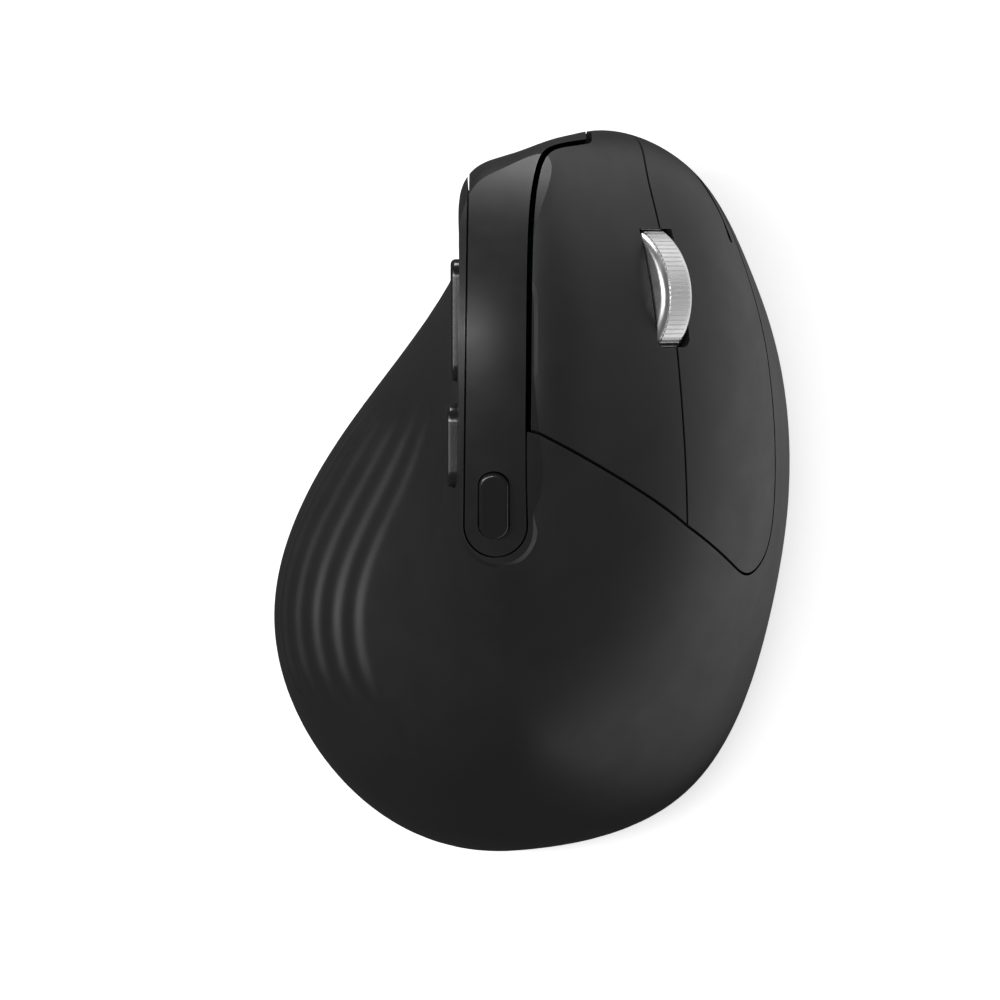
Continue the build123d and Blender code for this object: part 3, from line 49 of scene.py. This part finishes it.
# Studio
FLOOR_SIZE = 6.0
FLOOR_GREY = 0.86
# (name, place, size, watts, target): each softbox is a lit rectangle that faces its target
SOFTBOXES = [
    ("front_softbox", (0.05, 1.00, 0.13), (0.9, 0.26), 7.5, (0, 0, 0.03)),
    ("left_softbox", (-0.88, 0.05, 0.72), (0.9, 0.40), 2.2, (0, 0, 0.03)),
    ("high_left_softbox", (-0.60, 0.05, 1.05), (0.18, 1.4), 8.5, (0, 0, 0.03)),
]
SKY_RADIANCE = 0.14
# What the camera sees of the floor, and what the mouse sees of it
FLOOR_GLOW = 0.68
FLOOR_SEEN_GREY = 0.10
RIGHT_GLOW = 0.9
RIGHT_GLOW_FROM, RIGHT_GLOW_TO = 0.035, 0.08
RIGHT_GLOW_END, RIGHT_GLOW_GONE = 0.30, 0.50

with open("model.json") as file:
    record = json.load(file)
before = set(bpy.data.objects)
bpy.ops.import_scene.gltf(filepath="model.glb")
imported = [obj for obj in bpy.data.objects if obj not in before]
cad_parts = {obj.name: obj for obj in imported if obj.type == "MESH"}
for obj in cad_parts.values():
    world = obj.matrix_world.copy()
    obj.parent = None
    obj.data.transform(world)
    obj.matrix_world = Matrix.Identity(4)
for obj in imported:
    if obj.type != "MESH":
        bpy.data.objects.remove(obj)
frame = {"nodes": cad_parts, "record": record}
cad_low, cad_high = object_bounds()
nodes = frame["nodes"]


# ---------------------------------------------------------------- material tools
PLASTIC_EDGE = 0.25 * MM
METAL_EDGE = 0.15 * MM
COAT_ROUGHNESS = 0.15


class Recipe:
    """A node material under construction, with one Principled shader."""

    def __init__(self, name):
        self.material = bpy.data.materials.new(name)
        self.material.use_nodes = True
        self.tree = self.material.node_tree
        self.shader = self.tree.nodes["Principled BSDF"]
        self.place = self.add("ShaderNodeTexCoord").outputs["Object"]

    def add(self, kind, **values):
        """New node with its named properties set."""
        node = self.tree.nodes.new(kind)
        for key, value in values.items():
            setattr(node, key, value)
        return node

    def join(self, source, target):
        self.tree.links.new(source, target)

    def set(self, **inputs):
        """Plain values for the shader's inputs, with _ for a space."""
        for key, value in inputs.items():
            self.shader.inputs[key.replace("_", " ")].default_value = value

    def noise(self, size, detail=2.0, rough=0.5, stretch=(1, 1, 1)):
        """Noise whose blobs are about size across, in metres."""
        mapping = self.add("ShaderNodeMapping")
        mapping.inputs["Scale"].default_value = stretch
        texture = self.add("ShaderNodeTexNoise")
        texture.inputs["Scale"].default_value = 1 / size
        texture.inputs["Detail"].default_value = detail
        texture.inputs["Roughness"].default_value = rough
        self.join(self.place, mapping.inputs["Vector"])
        self.join(mapping.outputs[0], texture.inputs["Vector"])
        return texture.outputs["Fac"]

    def ramp(self, source, low, high, start, end):
        """Source between low and high, turned into start to end."""
        node = self.add("ShaderNodeMapRange")
        for index, value in enumerate((low, high, start, end), 1):
            node.inputs[index].default_value = value
        self.join(source, node.inputs[0])
        return node.outputs[0]

    def multiply(self, one, two):
        """Product of two sockets."""
        node = self.add("ShaderNodeMath", operation="MULTIPLY")
        self.join(one, node.inputs[0])
        self.join(two, node.inputs[1])
        return node.outputs[0]

    def mix(self, factor, one, two):
        """Colour or value blend; one and two may be colours or sockets."""
        node = self.add("ShaderNodeMix", data_type="RGBA")
        for socket, value in ((node.inputs[6], one), (node.inputs[7], two)):
            if isinstance(value, tuple):
                socket.default_value = (*value, 1)
            else:
                self.join(value, socket)
        if isinstance(factor, float):
            node.inputs[0].default_value = factor
        else:
            self.join(factor, node.inputs[0])
        return node.outputs[2]

    def bump(self, height, distance, strength=1.0, after=None):
        """Bump of a real depth in metres, laid over an earlier one."""
        node = self.add("ShaderNodeBump")
        node.inputs["Strength"].default_value = strength
        node.inputs["Distance"].default_value = distance
        self.join(height, node.inputs["Height"])
        if after is not None:
            self.join(after, node.inputs["Normal"])
        return node.outputs[0]

    def edges(self, radius):
        """One near a sharp edge, nought on open surface."""
        bevel = self.add("ShaderNodeBevel", samples=4)
        bevel.inputs["Radius"].default_value = radius
        geometry = self.add("ShaderNodeNewGeometry")
        dot = self.add("ShaderNodeVectorMath", operation="DOT_PRODUCT")
        self.join(bevel.outputs[0], dot.inputs[0])
        self.join(geometry.outputs["Normal"], dot.inputs[1])
        return self.ramp(dot.outputs["Value"], 0.995, 0.90, 0.0, 1.0)


def moulded(name, colour, edge_wear_and_highlight_colour, rough, grain, depth, coat):
    """Moulded plastic: fine texture, slow colour drift, uneven gloss, and lighter, smoother edges that are
    partly edge wear and partly a painted highlight.
    """
    recipe = Recipe(name)
    drift = recipe.ramp(recipe.noise(0.012, 3), 0.3, 0.7, 0.0, 1.0)
    darker = tuple(0.86 * c for c in colour)
    base = recipe.mix(drift, darker, colour)
    # Sharp edges get a lighter colour: partly real edge wear, partly a painted highlight for the light that
    # rounded edges would catch.
    edge_wear_and_highlight_mask = recipe.edges(PLASTIC_EDGE)
    base = recipe.mix(edge_wear_and_highlight_mask, base, edge_wear_and_highlight_colour)
    recipe.join(base, recipe.shader.inputs["Base Color"])
    gloss = recipe.ramp(recipe.noise(0.006, 4, 0.6), 0.3, 0.7, rough - 0.04, rough + 0.04)
    polished = recipe.ramp(edge_wear_and_highlight_mask, 0.0, 1.0, 0.0, -0.10)
    total = recipe.add("ShaderNodeMath", operation="ADD")
    recipe.join(gloss, total.inputs[0])
    recipe.join(polished, total.inputs[1])
    recipe.join(total.outputs[0], recipe.shader.inputs["Roughness"])
    fine = recipe.bump(recipe.noise(grain, 2), depth)
    recipe.join(fine, recipe.shader.inputs["Normal"])
    recipe.set(Coat_Weight=coat, Coat_Roughness=COAT_ROUGHNESS)
    return recipe.material


def metal(name, colour, rough, brush, stretch, depth):
    """Machined metal: brushing along one way, uneven gloss, brighter edges that are partly rubbed wear and
    partly a painted highlight.
    """
    recipe = Recipe(name)
    lines = recipe.noise(brush, 2, 0.6, stretch)
    darker = tuple(0.8 * c for c in colour)
    base = recipe.mix(recipe.ramp(lines, 0.3, 0.7, 0.0, 1.0), darker, colour)
    # Sharp edges get a brighter colour: partly real rubbed wear, partly a painted highlight for the light
    # that rounded edges would catch.
    edge_wear_and_highlight_mask = recipe.edges(METAL_EDGE)
    base = recipe.mix(edge_wear_and_highlight_mask, base, tuple(min(1.0, 1.2 * c) for c in colour))
    recipe.join(base, recipe.shader.inputs["Base Color"])
    smear = recipe.ramp(recipe.noise(0.003, 3), 0.3, 0.7, rough - 0.05, rough + 0.07)
    recipe.join(smear, recipe.shader.inputs["Roughness"])
    recipe.join(recipe.bump(lines, depth), recipe.shader.inputs["Normal"])
    recipe.set(Metallic=1.0)
    return recipe.material


def clear_plastic(name):
    """Clear moulded lens with faint flow marks."""
    recipe = Recipe(name)
    recipe.set(Transmission_Weight=1.0, IOR=1.49)
    flow = recipe.noise(0.004, 3)
    tint = recipe.mix(flow, (0.80, 0.84, 0.86), (0.95, 0.97, 0.98))
    recipe.join(tint, recipe.shader.inputs["Base Color"])
    recipe.join(recipe.ramp(flow, 0.3, 0.7, 0.04, 0.12), recipe.shader.inputs["Roughness"])
    recipe.join(recipe.bump(flow, 0.00001), recipe.shader.inputs["Normal"])
    return recipe.material


def circuit_board(name, colour):
    """Solder mask over woven glass, with faint copper runs beneath."""
    recipe = Recipe(name)
    runs = recipe.add("ShaderNodeTexBrick")
    runs.inputs["Scale"].default_value = 1 / 0.004
    runs.inputs["Mortar Size"].default_value = 0.06
    recipe.join(recipe.place, runs.inputs["Vector"])
    lighter = tuple(1.5 * c for c in colour)
    base = recipe.mix(recipe.ramp(runs.outputs["Fac"], 0.0, 1.0, 0.0, 1.0), colour, lighter)
    recipe.join(base, recipe.shader.inputs["Base Color"])
    gloss = recipe.ramp(recipe.noise(0.002, 3), 0.3, 0.7, 0.3, 0.42)
    recipe.join(gloss, recipe.shader.inputs["Roughness"])
    recipe.join(recipe.bump(runs.outputs["Fac"], 0.00003), recipe.shader.inputs["Normal"])
    return recipe.material


# Moulded plastics: slot, name, colour, colour of edges (edge wear and painted highlight), roughness, grain
# size, grain depth, coat
PLASTICS = [
    ("soft_black", "soft_touch_black", (0.0155, 0.0152, 0.0150), (0.030, 0.030, 0.030),
     0.42, 0.00022, 0.000008, 0.0),
    ("strip_black", "satin_black", (0.0150, 0.0148, 0.0146), (0.032, 0.032, 0.032),
     0.40, 0.00018, 0.000005, 0.0),
    ("base_black", "spark_black", (0.014, 0.014, 0.014), (0.03, 0.03, 0.03), 0.55, 0.0004, 0.00002, 0.0),
    ("gloss_black", "gloss_black", (0.010, 0.010, 0.010), (0.03, 0.03, 0.03), 0.24, 0.0003, 0.000002, 0.3),
    ("frame_black", "frame_black", (0.03, 0.03, 0.032), (0.06, 0.06, 0.06), 0.5, 0.0004, 0.00001, 0.0),
    ("switch_black", "switch_black", (0.02, 0.02, 0.02), (0.05, 0.05, 0.05), 0.45, 0.0003, 0.00001, 0.0),
    ("hub_grey", "hub_grey", (0.030, 0.030, 0.032), (0.08, 0.08, 0.08), 0.45, 0.0003, 0.00001, 0.0),
    ("plunger_white", "plunger_white", (0.75, 0.74, 0.70), (0.8, 0.8, 0.78), 0.4, 0.0003, 0.000005, 0.0),
    ("plunger_red", "plunger_red", (0.45, 0.05, 0.04), (0.55, 0.1, 0.08), 0.4, 0.0003, 0.000005, 0.0),
    ("sensor_black", "sensor_black", (0.012, 0.012, 0.012), (0.04, 0.04, 0.04), 0.3, 0.0003, 0.000004, 0.0),
    ("foot_grey", "foot_grey", (0.42, 0.42, 0.43), (0.5, 0.5, 0.5), 0.35, 0.0005, 0.000008, 0.0),
    ("cell_sleeve", "cell_sleeve", (0.02, 0.06, 0.20), (0.1, 0.15, 0.3), 0.25, 0.001, 0.000004, 0.4),
]
# Metals: slot, name, colour, roughness, brush width, stretch of the brushing, depth
METALS = [
    ("wheel_silver", "machined_silver", (0.86, 0.86, 0.87), 0.30, 0.00008, (1, 1, 1), 0.000004),
    ("steel", "plated_steel", (0.55, 0.55, 0.56), 0.28, 0.0002, (1, 6, 1), 0.000004),
]


def make_finishes():
    """One material for each slot of the record."""
    made = {slot: moulded(*values) for slot, *values in PLASTICS}
    made.update({slot: metal(*values) for slot, *values in METALS})
    made["lens_clear"] = clear_plastic("clear_lens")
    made["board_green"] = circuit_board("solder_mask", (0.01, 0.09, 0.04))
    return made


finishes = make_finishes()
slot_of = {part["node"]: part["material_slot"] for part in frame["record"]["subparts"]}
for name, node in nodes.items():
    node.data.materials.clear()
    node.data.materials.append(finishes[slot_of[name]])


# ---------------------------------------------------------------- thumb ribs
# Soft grip waves moulded into the thumb rest; each follows a level line round the flank.
RIB_FIRST = 16.4 * MM
RIB_PITCH = 3.6 * MM
RIB_COUNT = 5
RIB_HEIGHT = 0.42 * MM
RIB_LOW, RIB_HIGH = 13.4 * MM, 33.8 * MM
RIB_REAR, RIB_FRONT = -38 * MM, 20 * MM
RIB_FADE = 9 * MM
RIB_STEP_Y, RIB_STEP_Z = 0.5 * MM, 0.2 * MM
RIB_LIFT = 0.07 * MM
RIB_SINK = 0.08 * MM
RIB_BACK = 0.9 * MM
SMOOTHING_PASSES = 12


def smooth_step(t):
    """Nought to one with level ends."""
    t = np.clip(t, 0, 1)
    return t * t * (3 - 2 * t)


def blur(grid):
    """One light smoothing pass over a grid of points, with its border kept."""
    out = grid.copy()
    out[1:-1, 1:-1] = (grid[1:-1, 1:-1] * 4 + grid[:-2, 1:-1] + grid[2:, 1:-1]
                       + grid[1:-1, :-2] + grid[1:-1, 2:]) / 8
    return out


def make_thumb_ribs():
    """Ribbed skin over the thumb rest: it rises out of the shell and sinks back at its border."""
    bm = bmesh.new()
    bm.from_mesh(nodes["main_shell"].data)
    tree = BVHTree.FromBMesh(bm)
    bm.free()
    rows = int((RIB_HIGH - RIB_LOW) / RIB_STEP_Z) + 1
    columns = int((RIB_FRONT - RIB_REAR) / RIB_STEP_Y) + 1
    heights = np.linspace(RIB_LOW, RIB_HIGH, rows)
    places = np.linspace(RIB_REAR, RIB_FRONT, columns)
    start_x = cad_low.x - 10 * MM
    skin = np.empty((rows, columns, 3))
    for i, z in enumerate(heights):
        for j, y in enumerate(places):
            skin[i, j] = tree.ray_cast(Vector((start_x, y, z)), Vector((1, 0, 0)))[0]
    for _ in range(SMOOTHING_PASSES):
        skin = blur(skin)
    up = np.gradient(skin, axis=0)
    along = np.gradient(skin, axis=1)
    normal = np.cross(up, along)
    normal /= np.linalg.norm(normal, axis=2)[:, :, None]
    if normal[rows // 2, columns // 2, 0] > 0:
        normal = -normal
    z, y = np.meshgrid(heights, places, indexing="ij")
    last = RIB_FIRST + (RIB_COUNT - 1) * RIB_PITCH
    wave = 0.5 + 0.5 * np.cos(2 * np.pi * (z - RIB_FIRST) / RIB_PITCH)
    ends = smooth_step((y - RIB_REAR - 2 * MM) / RIB_FADE) * smooth_step((RIB_FRONT - 2 * MM - y) / RIB_FADE)
    sides = smooth_step((z - RIB_LOW) / (RIB_PITCH / 2)) * smooth_step((RIB_HIGH - z) / (RIB_PITCH / 2))
    fade = ends * sides
    offset = -RIB_SINK + fade * (RIB_SINK + RIB_LIFT + RIB_HEIGHT * wave)
    outer = skin + normal * offset[:, :, None]
    inner = skin - normal * RIB_BACK
    verts = [tuple(p) for grid in (outer, inner) for row in grid for p in row]
    count = rows * columns

    def at(layer, i, j):
        return layer * count + i * columns + j

    faces = []
    for i in range(rows - 1):
        for j in range(columns - 1):
            faces.append((at(0, i, j), at(0, i, j + 1), at(0, i + 1, j + 1), at(0, i + 1, j)))
            faces.append((at(1, i, j), at(1, i + 1, j), at(1, i + 1, j + 1), at(1, i, j + 1)))
    rim = ([(0, j) for j in range(columns)] + [(i, columns - 1) for i in range(1, rows)]
           + [(rows - 1, j) for j in range(columns - 2, -1, -1)] + [(i, 0) for i in range(rows - 2, 0, -1)])
    for a, b in zip(rim, rim[1:] + rim[:1]):
        faces.append((at(0, *b), at(0, *a), at(1, *a), at(1, *b)))
    mesh = bpy.data.meshes.new("thumb_ribs")
    mesh.from_pydata(verts, [], faces)
    mesh.validate()
    bm = bmesh.new()
    bm.from_mesh(mesh)
    bmesh.ops.recalc_face_normals(bm, faces=bm.faces)
    bm.to_mesh(mesh)
    bm.free()
    mesh.shade_smooth()
    mesh.materials.append(finishes["soft_black"])
    ribs = bpy.data.objects.new("thumb_ribs", mesh)
    bpy.context.scene.collection.objects.link(ribs)
    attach(ribs, "housing")
    return ribs


make_thumb_ribs()


# ---------------------------------------------------------------- stage
def make_floor():
    """Pale matte floor under the feet."""
    mesh = bpy.data.meshes.new("floor")
    half = FLOOR_SIZE / 2
    corners = [(-half, -half, 0), (half, -half, 0), (half, half, 0), (-half, half, 0)]
    mesh.from_pydata(corners, [], [(0, 1, 2, 3)])
    floor = bpy.data.objects.new("floor", mesh)
    bpy.context.scene.collection.objects.link(floor)
    recipe = Recipe("pale_floor")
    rays = recipe.add("ShaderNodeLightPath").outputs["Is Camera Ray"]
    seen = recipe.mix(rays, (FLOOR_SEEN_GREY,) * 3, (FLOOR_GREY,) * 3)
    recipe.join(seen, recipe.shader.inputs["Base Color"])
    across = recipe.add("ShaderNodeSeparateXYZ")
    recipe.join(recipe.place, across.inputs[0])
    # the table is lit from below on the finger side, which only the mouse sees
    start = recipe.ramp(across.outputs[0], RIGHT_GLOW_FROM, RIGHT_GLOW_TO, 0.0, 1.0)
    end = recipe.ramp(across.outputs[0], RIGHT_GLOW_END, RIGHT_GLOW_GONE, RIGHT_GLOW, 0.0)
    lit = recipe.multiply(start, end)
    glow = recipe.add("ShaderNodeMix", data_type="FLOAT")
    recipe.join(rays, glow.inputs[0])
    recipe.join(lit, glow.inputs[2])
    glow.inputs[3].default_value = FLOOR_GLOW
    recipe.join(glow.outputs[0], recipe.shader.inputs["Emission Strength"])
    recipe.set(Emission_Color=(1, 1, 1, 1), Roughness=0.9)
    mesh.materials.append(recipe.material)


def make_softbox(name, place, size, watts, target):
    """Rectangular light that faces its target and is out of the camera's sight."""
    light = bpy.data.lights.new(name, "AREA")
    light.shape = "RECTANGLE"
    light.size, light.size_y = size
    light.energy = watts
    lamp = bpy.data.objects.new(name, light)
    bpy.context.scene.collection.objects.link(lamp)
    lamp.location = place
    lamp.rotation_euler = (Vector(target) - Vector(place)).to_track_quat("-Z", "Y").to_euler()
    lamp.visible_camera = False


def make_world():
    """Even, dim studio surround."""
    world = bpy.data.worlds.new("studio")
    bpy.context.scene.world = world
    world.use_nodes = True
    world.node_tree.nodes["Background"].inputs["Color"].default_value = (1, 1, 1, 1)
    world.node_tree.nodes["Background"].inputs["Strength"].default_value = SKY_RADIANCE


def make_camera(middle):
    """Long lens straight above the mouse, with +Y up in the picture."""
    data = bpy.data.cameras.new("camera")
    data.lens = LENS
    data.sensor_width = SENSOR
    data.clip_start = 0.01
    camera = bpy.data.objects.new("camera", data)
    bpy.context.scene.collection.objects.link(camera)
    camera.location = (middle.x + CAMERA_SHIFT[0], middle.y + CAMERA_SHIFT[1], CAMERA_HEIGHT)
    bpy.context.scene.camera = camera


middle = (cad_low + cad_high) / 2
make_floor()
for softbox in SOFTBOXES:
    make_softbox(*softbox)
make_world()
make_camera(middle)
bpy.context.scene.view_settings.view_transform = "Standard"
